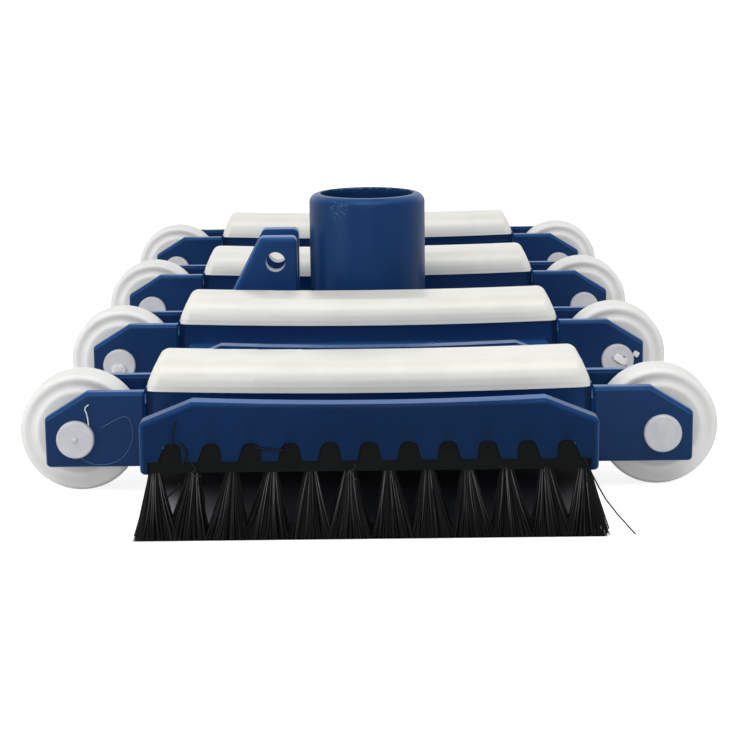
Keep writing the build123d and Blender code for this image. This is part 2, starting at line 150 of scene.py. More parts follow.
class Graph:
    """A node tree that is being wired up, from left to right."""

    def __init__(self, tree: bpy.types.NodeTree) -> None:
        """Keep the tree of a material, a group or a world."""
        self.tree = tree

    def add(self, kind: str, values: dict | None = None, **settings: object) -> bpy.types.Node:
        """Add a node, with its settings and its unlinked or linked inputs.

        Args:
            kind: The node's type, such as ShaderNodeMath.
            values: Input name or number to a plain value or to a wire.
            settings: The node's own properties.

        Returns:
            The new node.
        """
        node = self.tree.nodes.new(kind)
        node.location = (180 * len(self.tree.nodes), 0)
        for key, value in settings.items():
            setattr(node, key, value)
        for key, value in (values or {}).items():
            if isinstance(value, Wire):
                self.tree.links.new(value.socket, node.inputs[key])
            else:
                node.inputs[key].default_value = value
        return node

    def wire(self, kind: str, values: dict | None = None, output: object = 0, **settings: object) -> Wire:
        """Add a node as add does, and take the output of that name or number."""
        return Wire(self, self.add(kind, values, **settings).outputs[output])

    def group(self, tree: bpy.types.NodeTree, **values: float) -> dict[str, Wire]:
        """Add a shared effect with these inputs, and give its outputs by name."""
        node = self.add("ShaderNodeGroup", values, node_tree=tree)
        return {output.name: Wire(self, output) for output in node.outputs}

    def coordinates(self) -> Wire:
        """The surface point on the piece itself, in metres."""
        return self.wire("ShaderNodeTexCoord", output="Object")

    def split(self, vector: Wire) -> tuple[Wire, ...]:
        """The x, y and z of a vector."""
        return tuple(Wire(self, output) for output in self.add("ShaderNodeSeparateXYZ", {0: vector}).outputs)

    def position(self) -> tuple[Wire, ...]:
        """The surface point's x, y and z."""
        return self.split(self.coordinates())

    def from_axle(self) -> Wire:
        """The distance from the line of the nearer wheels' axles."""
        x, _, z = self.position()
        return spread(abs(x) - AXLE_X, z - AXLE_Z)

    def noise(self, scale: float | Wire, detail: float, stretch: Sequence[float] = (1, 1, 1)) -> Wire:
        """A noise from 0 to 1 of so many waves per metre, times the stretch along each axis."""
        where = self.wire("ShaderNodeMapping", {"Vector": self.coordinates(), "Scale": stretch})
        return self.wire("ShaderNodeTexNoise", {"Vector": where, "Scale": scale, "Detail": detail}, "Fac")

    def mix(self, share: Wire, first: Wire | Colour, second: Wire | Colour) -> Wire:
        """Mix a share of the second colour into the first."""
        return self.wire("ShaderNodeMix", {0: share, 6: first, 7: second}, 2, data_type="RGBA")

    def bump(self, height: Wire, depth: float, normal: Wire | None = None) -> Wire:
        """Bend the normal by a height from 0 to 1 of a real depth in metres."""
        inputs = {"Height": height, "Distance": depth, "Strength": 1.0}
        return self.wire("ShaderNodeBump", inputs | ({"Normal": normal} if normal else {}))

    def camera_sees(self) -> Wire:
        """Whether the ray comes straight from the camera."""
        return self.wire("ShaderNodeLightPath", output="Is Camera Ray")


def new_group(name: str, inputs: dict[str, float], outputs: Iterable[str]) -> tuple[Graph, dict[str, Wire]]:
    """Start a node group whose sockets are all plain values.

    Args:
        name: The group's name.
        inputs: Input name to default value.
        outputs: Output names.

    Returns:
        The group's graph and its inputs as wires by name.
    """
    tree = bpy.data.node_groups.new(name, "ShaderNodeTree")
    for label, value in inputs.items():
        socket = tree.interface.new_socket(name=label, in_out="INPUT", socket_type="NodeSocketFloat")
        socket.default_value = value
    for label in outputs:
        tree.interface.new_socket(name=label, in_out="OUTPUT", socket_type="NodeSocketFloat")
    graph = Graph(tree)
    source = graph.add("NodeGroupInput")
    return graph, {label: Wire(graph, source.outputs[label]) for label in inputs}


def mould_skin_group() -> bpy.types.NodeTree:
    """The skin of moulded plastic: cloudy tone and a fine orange-peel relief.

    Returns:
        A group with inputs Cloud and Peel (waves per metre) and outputs Tone and Relief.
    """
    graph, given = new_group("mould_skin", {"Cloud": 60.0, "Peel": 900.0}, ("Tone", "Relief"))
    tone = graph.noise(given["Cloud"], 3.0).ramp(0.25, 0.75)
    graph.add("NodeGroupOutput", {"Tone": tone, "Relief": graph.noise(given["Peel"], 2.0)})
    return graph.tree


def level_line_group() -> bpy.types.NodeTree:
    """A thin level line round a piece, such as a mould's parting line.

    Returns:
        A group with inputs Level, Width, Sag and Reach (metres) and outputs Line and Above.
    """
    inputs = {"Level": 0.0, "Width": 0.2 * MM, "Sag": 0.0, "Reach": 1.0}
    graph, given = new_group("level_line", inputs, ("Line", "Above"))
    x, _, z = graph.position()
    share = x / given["Reach"]
    rise = (z + (1.0 - share * share) * given["Sag"] - given["Level"]) / given["Width"]
    graph.add("NodeGroupOutput", {"Line": abs(rise).ramp(1.0, 0.0), "Above": rise.ramp(-1.0, 1.0)})
    return graph.tree


class Effects:
    """The node groups that several finishes share, built once."""

    def __init__(self) -> None:
        """Build every group."""
        self.skin = mould_skin_group()
        self.level_line = level_line_group()


@dataclass
class Surface:
    """A surface that is being painted: its graph and the wires for its shader."""

    graph: Graph
    effects: Effects
    colour: Wire
    rough: Wire
    normal: Wire | None

    def tint(self, share: Wire, colour: Colour) -> None:
        """Mix a share of one more colour in."""
        self.colour = self.graph.mix(share, self.colour, colour)

    def emboss(self, height: Wire, depth: float) -> None:
        """Bend the normal by one more relief."""
        self.normal = self.graph.bump(height, depth, self.normal)


def blank_material(name: str) -> tuple[bpy.types.Material, Graph]:
    """Make a material with no nodes.

    Args:
        name: The material's name.

    Returns:
        The material and its graph.
    """
    material = bpy.data.materials.new(name)
    material.use_nodes = True
    material.node_tree.nodes.clear()
    return material, Graph(material.node_tree)


# ---------- Marks on a finish ----------
class Mark:
    """One local change to a finish."""

    def draw(self, surface: Surface) -> None:
        """Draw it on the surface."""
        raise NotImplementedError


@dataclass(frozen=True)
class EdgeHighlight(Mark):
    """Painted highlight on the rounded border of an upright plate: level on top, slanted down to its sides,
    then upright.
    """

    top_z: float
    bend_x: float
    run: float
    fall: float
    side_x: float = 1.0
    border: float = 0.85 * MM
    inner_share: float = 0.7
    band: float = 0.35
    line: float = 0.4
    line_half_width: float = 0.22 * MM
    line_core: float = 0.04 * MM
    # Colours of the painted highlight: skin over the border, edge for the fine line inside it.
    skin: Colour = srgb(30, 84, 150)
    edge: Colour = srgb(70, 112, 170)

    def draw(self, surface: Surface) -> None:
        """Paint the highlight: lighter skin over the border and a fine lighter line along its inner side.

        Args:
            surface: The surface so far.
        """
        x, _, z = surface.graph.position()
        aside, below = abs(x), self.top_z - z
        slant = math.hypot(self.run, self.fall)
        aslant = below * (self.run / slant) + (self.bend_x - aside) * (self.fall / slant)
        inset = below.least(aslant).least(self.side_x - aside)
        surface.tint(inset.ramp(self.border, self.inner_share * self.border) * self.band, self.skin)
        line = abs(inset - self.border).ramp(self.line_half_width, self.line_core)
        surface.tint(line * self.line, self.edge)


@dataclass(frozen=True)
class Parting(Mark):
    """The mould's parting line, with a small step across it."""

    z: float
    width: float = 0.12 * MM
    step: float = 0.05 * MM
    share: float = 0.25
    colour: Colour = srgb(60, 92, 140)

    def draw(self, surface: Surface) -> None:
        """Add the line and the step.

        Args:
            surface: The surface so far.
        """
        line = surface.graph.group(surface.effects.level_line, Level=self.z, Width=self.width)
        surface.tint(line["Line"] * self.share, self.colour)
        surface.emboss(line["Above"], self.step)


@dataclass(frozen=True)
class Seam(Mark):
    """The sagging seam of a cover, with painted shade below it."""

    z: float
    sag: float
    reach: float
    width: float = 0.25 * MM
    step: float = 0.04 * MM
    # How much painted shade lies below the seam, and its colour.
    foot_shade_share: float = 0.12
    foot: Colour = srgb(120, 120, 116)

    def draw(self, surface: Surface) -> None:
        """Add the seam and the painted shade below it.

        Args:
            surface: The surface so far.
        """
        sizes = dict(Level=self.z, Sag=self.sag, Reach=self.reach, Width=self.width)
        above = surface.graph.group(surface.effects.level_line, **sizes)["Above"]
        surface.tint((1.0 - above) * self.foot_shade_share, self.foot)
        surface.emboss(above, self.step)


@dataclass(frozen=True)
class Lugs(Mark):
    """The sink marks over the brush lugs, with painted shade over them, painted shadow round the lugs' feet
    and painted shadow just above the strip.
    """

    pitch: float = TUFT_PITCH
    outer_y: Span = (193 * MM, 194 * MM)
    sink_top_z: float = 31 * MM
    lug_top_z: float = 23.85 * MM
    lobe_z: float = 19.4 * MM
    foot_rise: float = 1 * MM
    strip_shadow_height: float = 2.4 * MM
    strip_shadow_share: float = 0.55
    sink_share: float = 0.5
    sink_depth: float = 0.1 * MM
    share: float = 0.8
    # Colour of the painted shade and shadow.
    shade_colour: Colour = srgb(2, 20, 44)

    def draw(self, surface: Surface) -> None:
        """Paint shade and shadow on the outer face over and round each lug.

        Args:
            surface: The surface so far.
        """
        x, y, z = surface.graph.position()
        outer = abs(y).ramp(*self.outer_y)
        wave = ((x * (2 * math.pi / self.pitch)).math("COSINE") * 0.5 + 0.5) * outer
        # Painted shade over each lug's sink mark; the sink's relief is embossed below.
        sink = wave ** 3.0 * z.ramp(self.sink_top_z, self.lug_top_z)
        # Painted shadow round each lug's foot.
        foot = wave * z.ramp(self.lug_top_z + self.foot_rise, self.lobe_z + self.foot_rise)
        # Painted shadow darkening down towards the strip.
        seam = z.ramp(self.lobe_z + self.strip_shadow_height, self.lobe_z) * outer * self.strip_shadow_share
        surface.tint((sink * self.sink_share).most(foot.most(seam)) * self.share, self.shade_colour)
        surface.emboss(1.0 - sink, self.sink_depth)


@dataclass(frozen=True)
class Mouth(Mark):
    """A round mouth, with a patchy painted highlight over its rounding and painted shade inside it."""

    lip_z: float
    radius: float = 15.5 * MM
    highlight_from: float = 2.0 * MM
    highlight_to: float = 0.5 * MM
    edge: float = 0.3 * MM
    patches: float = 180.0
    least_highlight: float = 0.1
    patchy_highlight: float = 0.4
    inside_shade_share: float = 0.35
    # Colours of the painted highlight on the rounding and of the painted shade inside.
    skin: Colour = srgb(48, 104, 162)
    shade_colour: Colour = srgb(9, 22, 52)

    def draw(self, surface: Surface) -> None:
        """Add the painted highlight and the painted shade.

        Args:
            surface: The surface so far.
        """
        x, y, z = surface.graph.position()
        patchy = surface.graph.noise(self.patches, 3.0) * self.patchy_highlight + self.least_highlight
        surface.tint(z.ramp(self.lip_z - self.highlight_from, self.lip_z - self.highlight_to) * patchy, self.skin)
        inside = spread(x, y).ramp(self.radius + self.edge, self.radius)
        surface.tint(inside * self.inside_shade_share, self.shade_colour)


@dataclass(frozen=True)
class Bore(Mark):
    """A painted highlight on the lower wall of a cross bore."""

    x: float
    z: float
    radius: float
    edge: Span = (0.12 * MM, 0.02 * MM)
    share: float = 0.85
    # Colour of the painted highlight.
    rubbed: Colour = srgb(205, 207, 208)

    def draw(self, surface: Surface) -> None:
        """Paint the highlight on the lower wall.

        Args:
            surface: The surface so far.
        """
        x, _, z = surface.graph.position()
        up = z - self.z
        inside = spread(x - self.x, up).ramp(*(self.radius + beyond for beyond in self.edge))
        surface.tint(inside * up.ramp(0.3 * self.radius, -0.5 * self.radius) * self.share, self.rubbed)


@dataclass(frozen=True)
class Scuffs(Mark):
    """Pale rubbed marks in a soft-edged ball round one place."""

    place: Point
    radius: float
    core: float = 0.35
    grain: float = 1300.0
    cut: float = 0.53
    softness: float = 0.06
    share: float = 0.55
    pale: Colour = srgb(96, 130, 176)

    def draw(self, surface: Surface) -> None:
        """Add the marks, which are duller as well as paler.

        Args:
            surface: The surface so far.
        """
        graph = surface.graph
        where = graph.coordinates()
        away = graph.wire("ShaderNodeVectorMath", {0: where, 1: self.place}, "Value", operation="DISTANCE")
        specks = {"Vector": where, "Scale": self.grain, "Detail": 5.0, "Roughness": 0.65}
        over = graph.wire("ShaderNodeTexNoise", specks, "Fac") - self.cut
        ball = away.ramp(self.radius, self.core * self.radius)
        marks = over.ramp(0.0, self.softness) * ball * self.share
        surface.tint(marks, self.pale)
        surface.rough = surface.rough + marks


@dataclass(frozen=True)
class RecessFillLight(Mark):
    """Painted fill light: the recessed wall between a beam's yokes, painted paler."""

    half_length: float
    edge: float = 0.5 * MM
    colour: Colour = srgb(20, 62, 121)

    def draw(self, surface: Surface) -> None:
        """Paint the wall paler."""
        aside = abs(surface.graph.position()[0])
        surface.tint(aside.ramp(self.half_length, self.half_length - self.edge), self.colour)


@dataclass(frozen=True)
class GrazingSheen(Mark):
    """A painted sheen: a paler colour mixed in where the surface turns away from the view, standing in for
    grazing reflection; it may fade beyond a reach from the middle.
    """

    share: float = 0.9
    reach: float = 1.0
    fade: float = 1.5 * MM
    left_over: float = 0.25
    turned: Span = (0.45, 0.8)
    colour: Colour = srgb(46, 102, 170)

    def draw(self, surface: Surface) -> None:
        """Add the painted sheen.

        Args:
            surface: The surface so far.
        """
        facing = surface.graph.wire("ShaderNodeLayerWeight", {"Blend": 0.5}, "Facing")
        aside = abs(surface.graph.position()[0])
        fading = aside.ramp(self.reach + self.fade, self.reach - self.fade)
        kept = fading * (1.0 - self.left_over) + self.left_over
        surface.tint(facing.ramp(*self.turned) * self.share * kept, self.colour)


@dataclass(frozen=True)
class DishShade(Mark):
    """Painted shade on the dish of a wheel, inside its valley."""

    radius: float
    edge: float = 0.6 * MM
    share: float = 0.55
    colour: Colour = srgb(196, 197, 196)

    def draw(self, surface: Surface) -> None:
        """Paint the shade on the dish.

        Args:
            surface: The surface so far.
        """
        inside = surface.graph.from_axle().ramp(self.radius + self.edge, self.radius - self.edge)
        surface.tint(inside * self.share, self.colour)


# ---------- Finishes ----------
@dataclass(frozen=True)
class Coat:
    """What is the same all over a surface."""

    roughness: float = 0.4
    specular: float = 0.5
    tint: Colour = grey(1.0)
    metallic: float = 0.0
    subsurface: float = 0.0
    subsurface_scale: float = 2 * MM


@dataclass(frozen=True)
class Finish:
    """A finish of two tones; its kind says how they, the relief and the roughness vary."""

    name: str
    pale: Colour
    dark: Colour
    coat: Coat = Coat()
    depth: float = 0.0
    play: float = 0.0
    marks: tuple[Mark, ...] = ()

    def texture(self, graph: Graph, effects: Effects) -> tuple[Wire, Wire, Wire]:
        """The share of the pale tone, the relief and the roughness, each from 0 to 1."""
        raise NotImplementedError

    def build(self, effects: Effects) -> bpy.types.Material:
        """Build the material.

        Args:
            effects: The shared node groups.

        Returns:
            The material.
        """
        material, graph = blank_material(self.name)
        tone, relief, wear = self.texture(graph, effects)
        rough = wear * self.play + (self.coat.roughness - self.play / 2)
        normal = graph.bump(relief, self.depth) if self.depth else None
        surface = Surface(graph, effects, graph.mix(tone, self.dark, self.pale), rough, normal)
        for mark in self.marks:
            mark.draw(surface)
        inputs = {
            "Base Color": surface.colour,
            "Roughness": surface.rough,
            "Specular IOR Level": self.coat.specular,
            "Specular Tint": self.coat.tint,
            "Metallic": self.coat.metallic,
            "Subsurface Weight": self.coat.subsurface,
            "Subsurface Scale": self.coat.subsurface_scale,
        }
        if surface.normal:
            inputs["Normal"] = surface.normal
        graph.add("ShaderNodeOutputMaterial", {"Surface": graph.wire("ShaderNodeBsdfPrincipled", inputs)})
        return material


@dataclass(frozen=True)
class Moulding(Finish):
    """Moulded plastic: a cloudy skin, with flow streaks or a swirl round the axle where they are set."""

    cloud: float = 60.0
    peel: float = 900.0
    streak: Point | None = None
    streaks: float = 120.0
    swirl: float = 0.0
    swirl_rate: float = 9000.0

    def texture(self, graph: Graph, effects: Effects) -> tuple[Wire, Wire, Wire]:
        """Vary the skin.

        Args:
            graph: The material's graph.
            effects: The shared node groups.

        Returns:
            The share of the pale tone, the relief and the roughness, each from 0 to 1.
        """
        skin = graph.group(effects.skin, Cloud=self.cloud, Peel=self.peel)
        tone = skin["Tone"]
        if self.streak:
            tone = ((graph.noise(self.streaks, 2.0, self.streak) + tone) * 0.5).ramp(0.2, 0.8)
        if self.swirl:
            rings = (graph.from_axle() * self.swirl_rate).math("SINE") * 0.5 + 0.5
            tone = rings * self.swirl + tone * 0.9
        return tone, skin["Relief"], skin["Tone"]


@dataclass(frozen=True)
class BristleNylon(Finish):
    """Nylon filaments, each with its own tone; where a fade height is set, they carry a painted highlight
    that grows paler upwards from it.
    """

    coat: Coat = Coat(roughness=0.375, specular=0.1)
    play: float = 0.15
    glint_fade_z: float | None = None
    bright_z: float = 16 * MM
    patches: float = 260.0

    def texture(self, graph: Graph, effects: Effects) -> tuple[Wire, Wire, Wire]:
        """Vary the filaments.

        Args:
            graph: The material's graph.
            effects: The shared node groups.

        Returns:
            The share of the pale tone, the relief and the roughness, each from 0 to 1.
        """
        own = graph.wire("ShaderNodeNewGeometry", output="Random Per Island")
        if self.glint_fade_z is None:
            tone = own.ramp(0.3, 1.0) * graph.noise(self.patches, 2.0, (1.0, 1.0, 0.25)).ramp(0.3, 0.7)
        else:
            tone = own.ramp(0.0, 0.8) * graph.position()[2].ramp(self.glint_fade_z, self.bright_z)
        return tone, own, own


@dataclass(frozen=True)
class PlainSteel(Finish):
    """Stainless or plain steel, brushed along one direction."""

    coat: Coat = Coat(roughness=0.32, metallic=1.0)
    depth: float = 0.01 * MM
    play: float = 0.2
    brushing: float = 2500.0

    def texture(self, graph: Graph, effects: Effects) -> tuple[Wire, Wire, Wire]:
        """Vary everything by the brushing."""
        return (graph.noise(self.brushing, 3.0, (0.05, 1.0, 1.0)),) * 3


def blue(
    name: str, pale: Colour, dark: Colour, *marks: Mark, rough: float = 0.34, gloss: float = 0.4
) -> Moulding:
    """A moulded blue plastic, with its marks in the order in which they are drawn."""
    coat = Coat(roughness=rough, specular=gloss, tint=(0.45, 0.72, 1.0, 1.0))
    return Moulding(name, pale, dark, coat, 0.012 * MM, 0.06, marks, cloud=45.0, peel=1100.0)


def white(name: str, pale: Colour, dark: Colour, coat: Coat, streak: Point, *marks: Mark) -> Moulding:
    """A moulded white plastic, with its marks in the order in which they are drawn."""
    return Moulding(name, pale, dark, coat, 0.006 * MM, 0.05, marks, cloud=80.0, peel=800.0, streak=streak)


def flecks_and_painted_lines(name: str, colour: Colour) -> Moulding:
    """The finish of stray fibres, specks of flash, strands and lumps of painted shadow, and a ring that is
    partly painted highlight.
    """
    faded = (*(0.7 * level for level in colour[:3]), 1.0)
    return Moulding(name, colour, faded, Coat(roughness=0.6, specular=0.3))


FINISHES = (
    blue(
        "blue_carrier",
        srgb(11, 44, 90),
        srgb(8, 37, 81),
        Parting(13.4 * MM),
        EdgeHighlight(27.95 * MM, 72.8 * MM, run=11.0 * MM, fall=6.8 * MM),
        RecessFillLight(56.5 * MM),
        GrazingSheen(),
    ),
    blue(
        "blue_bracket",
        srgb(19, 57, 110),
        srgb(14, 48, 98),
        EdgeHighlight(47.7 * MM, 34.8 * MM, 13.75 * MM, 26.25 * MM, 1.0, 2.2 * MM, 0.1, 0.6, 0.0),
        GrazingSheen(0.82),
        Bore(-30.0 * MM, 39.7 * MM, 3.175 * MM),
    ),
    blue("blue_deck", srgb(17, 57, 112), srgb(12, 48, 100), GrazingSheen(0.45)),
    # The end plates share the carriers' and bracket's blue plastic but are set darker to match how dark their
    # faces look: painted shade.
    *(
        blue(
            f"blue_plate_{end}",
            srgb(5, 35, 75),
            srgb(4, 29, 65),
            Lugs(),
            EdgeHighlight(crest_z, 42.2 * MM, 12.7 * MM, 5.1 * MM, 54.9 * MM, 1.5 * MM, 0.1, 0.34, 0.0),
            GrazingSheen(0.76, reach=43.0 * MM),
            rough=0.36,
            gloss=0.2,
        )
        for end, crest_z in zip(ENDS, (34.0 * MM, 29.0 * MM))
    ),
    blue(
        "blue_port",
        srgb(21, 57, 107),
        srgb(16, 49, 96),
        Scuffs((-9.3 * MM, -16.4 * MM, 57.2 * MM), 4.6 * MM),
        Mouth(60.5 * MM),
        GrazingSheen(0.12),
        gloss=0.3,
    ),
    white(
        "cover_white",
        srgb(240, 239, 231),
        srgb(233, 232, 224),
        Coat(roughness=0.305),
        (0.15, 1.0, 1.0),
        Seam(29.35 * MM, sag=1.0 * MM, reach=57.1 * MM),
    ),
    white(
        "wheel_white",
        srgb(240, 240, 238),
        srgb(233, 233, 230),
        Coat(roughness=0.425, specular=0.45, subsurface=0.05),
        (1.0, 1.0, 1.0),
        DishShade(10.8 * MM),
    ),
    white("washer_nylon", srgb(226, 223, 210), srgb(216, 213, 200), Coat(roughness=0.405), (1.0, 1.0, 1.0)),
    Moulding(
        "pin_white",
        srgb(206, 207, 211),
        srgb(193, 194, 199),
        Coat(roughness=0.5, specular=0.4),
        0.015 * MM,
        cloud=350.0,
        peel=1500.0,
        swirl=0.08,
    ),
    Moulding(
        "strip_black",
        srgb(13, 15, 16),
        srgb(8, 11, 12),
        Coat(roughness=0.6, specular=0.1),
        0.03 * MM,
        cloud=300.0,
        peel=1600.0,
    ),
    BristleNylon("bristle_black", srgb(37, 38, 37), srgb(20, 21, 21)),
    # Paler filaments on the front of each tuft that stand in for glints of light: painted highlight.
    BristleNylon("bristle_glint", srgb(94, 96, 94), srgb(20, 21, 21), glint_fade_z=0.0),
    BristleNylon("bristle_knot", srgb(140, 142, 134), srgb(44, 46, 42)),
    PlainSteel("ballast_steel", srgb(140, 142, 148), srgb(104, 106, 112)),
    PlainSteel("screw_steel", srgb(196, 198, 202), srgb(150, 152, 158)),
    flecks_and_painted_lines("lint_white", srgb(238, 238, 238)),
    # Dark grey for a strand and a lump that stand in for the shadow in a groove and a hole: painted shadow.
    flecks_and_painted_lines("shade_grey", srgb(118, 120, 126)),
    flecks_and_painted_lines("hair_blue", srgb(84, 118, 168)),
    flecks_and_painted_lines("rim_blue", srgb(110, 150, 200)),
    # Very pale, partly a painted highlight of the port's lit inner lip.
    flecks_and_painted_lines("trim_highlight_blue", srgb(150, 190, 226)),
)


class Palette:
    """Every finish, built once, by a plain name."""

    def __init__(self, effects: Effects) -> None:
        """Build the finishes."""
        self.materials = {finish.name: finish.build(effects) for finish in FINISHES}

    def __getitem__(self, name: str) -> bpy.types.Material:
        """The material of that name."""
        return self.materials[name]


# ---------- Modelling helpers ----------
def deselect_all() -> None:
    """Leave nothing selected, so that an operator acts only on a new piece."""
    if bpy.context.mode != "OBJECT":
        bpy.ops.object.mode_set(mode="OBJECT")
    bpy.ops.object.select_all(action="DESELECT")


def make_active(piece: bpy.types.Object) -> None:
    """Select one piece and make it the active one.

    Args:
        piece: The piece to work on.
    """
    deselect_all()
    piece.select_set(True)
    bpy.context.view_layer.objects.active = piece


def settle(piece: bpy.types.Object, name: str) -> bpy.types.Object:
    """Name a piece and move its place, turn and scale into its mesh.

    Args:
        piece: The finished piece.
        name: Its final name.

    Returns:
        The same piece.
    """
    piece.name = name
    piece.data.name = name
    make_active(piece)
    bpy.ops.object.transform_apply(location=True, rotation=True, scale=True)
    return piece


def dress(piece: bpy.types.Object, material: bpy.types.Material) -> None:
    """Give every material slot of a piece the same finish.

    Args:
        piece: A new piece or a carried-over one.
        material: The finish.
    """
    if not piece.material_slots:
        piece.data.materials.append(material)
    for place in piece.material_slots:
        place.material = material


def show(piece: bpy.types.Object, material: bpy.types.Material, body: str) -> None:
    """Dress a piece that is made here, name its body, and report it.

    Args:
        piece: The piece.
        material: Its finish.
        body: The body that it moves with.
    """
    dress(piece, material)
    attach(piece, body)
    LOG.info("built %s", piece.name)


def apply_modifiers(piece: bpy.types.Object) -> None:
    """Apply all of a piece's modifiers, in order.

    Args:
        piece: The piece to work on.
    """
    make_active(piece)
    for modifier in list(piece.modifiers):
        bpy.ops.object.modifier_apply(modifier=modifier.name)


def roughen(piece: bpy.types.Object, name: str, grain: float, strength: float) -> None:
    """Push a piece's skin about.

    Args:
        piece: The piece to work on.
        name: The name of the pattern.
        grain: The size of its lumps.
        strength: How far the skin moves.
    """
    texture = bpy.data.textures.new(name, "CLOUDS")
    texture.noise_scale = grain
    push = piece.modifiers.new("uneven", "DISPLACE")
    push.texture = texture
    push.strength = strength
    push.texture_coords = "LOCAL"
    apply_modifiers(piece)


def smooth_copy(node: bpy.types.Object, name: str, flat: bool) -> bpy.types.Object:
    """Copy a carried-over solid as one closed mesh, shaded softly across its small bends.

    Args:
        node: The carried-over solid.
        name: The copy's name.
        flat: Whether its large faces are flat, so that they alone set the shading up to their rounded edges.

    Returns:
        The copy.
    """
    piece = bpy.data.objects.new(name, node.data.copy())
    bpy.context.scene.collection.objects.link(piece)
    make_active(piece)
    bpy.ops.mesh.customdata_custom_splitnormals_clear()
    bpy.ops.object.mode_set(mode="EDIT")
    bpy.ops.mesh.select_all(action="SELECT")
    bpy.ops.mesh.remove_doubles(threshold=0.002 * MM)
    bpy.ops.mesh.tris_convert_to_quads(face_threshold=math.radians(1), shape_threshold=math.radians(60))
    bpy.ops.object.mode_set(mode="OBJECT")
    bpy.ops.object.shade_smooth_by_angle(angle=math.radians(35))
    if flat:
        weigh = piece.modifiers.new("weigh", "WEIGHTED_NORMAL")
        weigh.keep_sharp = True
        apply_modifiers(piece)
    return piece


def strands(name: str, paths: Iterable[Sequence[Vector]], radius: float) -> bpy.types.Object:
    """Make thin round strands along smooth lines, as one mesh.

    Args:
        name: The piece's name.
        paths: The control points of each strand.
        radius: The strands' radius.

    Returns:
        The mesh piece.
    """
    curve = bpy.data.curves.new(name, "CURVE")
    curve.dimensions = "3D"
    curve.bevel_depth = radius
    curve.bevel_resolution = 0
    curve.resolution_u = 2
    curve.use_fill_caps = True
    for path in paths:
        spline = curve.splines.new("NURBS")
        spline.points.add(len(path) - 1)
        for point, place in zip(spline.points, path):
            point.co = (*place, 1.0)
        spline.order_u = 3
        spline.use_endpoint_u = True
    piece = bpy.data.objects.new(name, curve)
    bpy.context.scene.collection.objects.link(piece)
    make_active(piece)
    bpy.ops.object.convert(target="MESH")
    bpy.ops.object.shade_smooth()
    return settle(bpy.context.view_layer.objects.active, name)


# ---------- Sub-assemblies ----------
class Skin(Enum):
    """How the visible skin of a carried-over solid is made."""

    AS_IS = "as it comes"
    FLAT = "a smooth copy of a solid with large flat faces"
    CURVED = "a smooth copy of a solid with large curved faces"
    WHEEL = "a smooth copy whose rings are moulded as on the real wheel"


@dataclass(frozen=True)
class Casting:
    """How the solids whose names start alike are finished."""

    start: str
    finish: str
    slot: Slot
    skin: Skin = Skin.AS_IS


STEEL_PARTS = ("port_retaining_ring", "end_plate_screws", "carrier_screws", "bracket_screws")
CASTINGS = (
    Casting("wheel_carrier", "blue_carrier", Slot.BLUE_PLASTIC, Skin.FLAT),
    Casting("weight_cover", "cover_white", Slot.COVER_WHITE, Skin.CURVED),
    Casting("ballast_bar", "ballast_steel", Slot.BALLAST_STEEL),
    Casting("wheel", "wheel_white", Slot.WHEEL_WHITE, Skin.WHEEL),
    Casting("axle_pin", "pin_white", Slot.PIN_WHITE),
    Casting("flex_deck", "blue_deck", Slot.BLUE_VINYL, Skin.FLAT),
    Casting("hose_port", "blue_port", Slot.PORT_BLUE, Skin.CURVED),
    Casting("port_washer", "washer_nylon", Slot.WASHER_NYLON),
    Casting("handle_bracket", "blue_bracket", Slot.BLUE_PLASTIC, Skin.FLAT),
    *(Casting(f"end_plate_{end}", f"blue_plate_{end}", Slot.BLUE_PLASTIC, Skin.FLAT) for end in ENDS),
    Casting("brush_strip", "strip_black", Slot.STRIP_BLACK, Skin.FLAT),
    Casting("bristle_tufts", "bristle_black", Slot.BRISTLE_BLACK),
    *(Casting(start, "screw_steel", Slot.SCREW_STEEL) for start in STEEL_PARTS),
)


@dataclass
class WheelRings:
    """The rings on a wheel's faces, each given as its radius on the plain solid and on the moulded wheel."""

    hub: Span = (5.5 * MM, 5.5 * MM)
    dish: Span = (10.45 * MM, 10.8 * MM)
    lip: Span = (13.05 * MM, 13.95 * MM)
    tread: Span = (15.65 * MM, 15.65 * MM)
    lip_round: float = 0.3 * MM
    half_width: float = 5.5 * MM
    valley_share: float = 0.62

    def moulded(self, radius: float) -> float:
        """Where a point of the plain solid's face lies on the moulded wheel.

        Args:
            radius: The point's distance from the axle.

        Returns:
            Its new distance from the axle.
        """
        rings = ((0.0, 0.0), self.hub, self.dish, self.lip, self.tread)
        for (plain_in, new_in), (plain_out, new_out) in zip(rings, rings[1:]):
            if radius <= plain_out:
                return new_in + (radius - plain_in) * (new_out - new_in) / (plain_out - plain_in)
        return radius

    def shape(self, piece: bpy.types.Object) -> None:
        """Move the rings of a wheel's copy to their places, and make the valley shallower.

        Args:
            piece: The wheel's smooth copy.
        """
        spans = zip(*(vertex.co for vertex in piece.data.vertices))
        middle = [(min(span) + max(span)) / 2 for span in spans]
        for vertex in piece.data.vertices:
            side, off, rise = (vertex.co[axis] - middle[axis] for axis in range(3))
            radius = math.hypot(side, rise)
            depth = self.half_width - abs(off)
            if self.hub[0] < radius < self.lip[0] + self.lip_round and 0 < depth < self.half_width / 2:
                vertex.co.y += math.copysign(depth * (1 - self.valley_share), off)
            if radius > self.hub[0]:
                grown = self.moulded(radius) / radius
                vertex.co.x = middle[0] + side * grown
                vertex.co.z = middle[2] + rise * grown


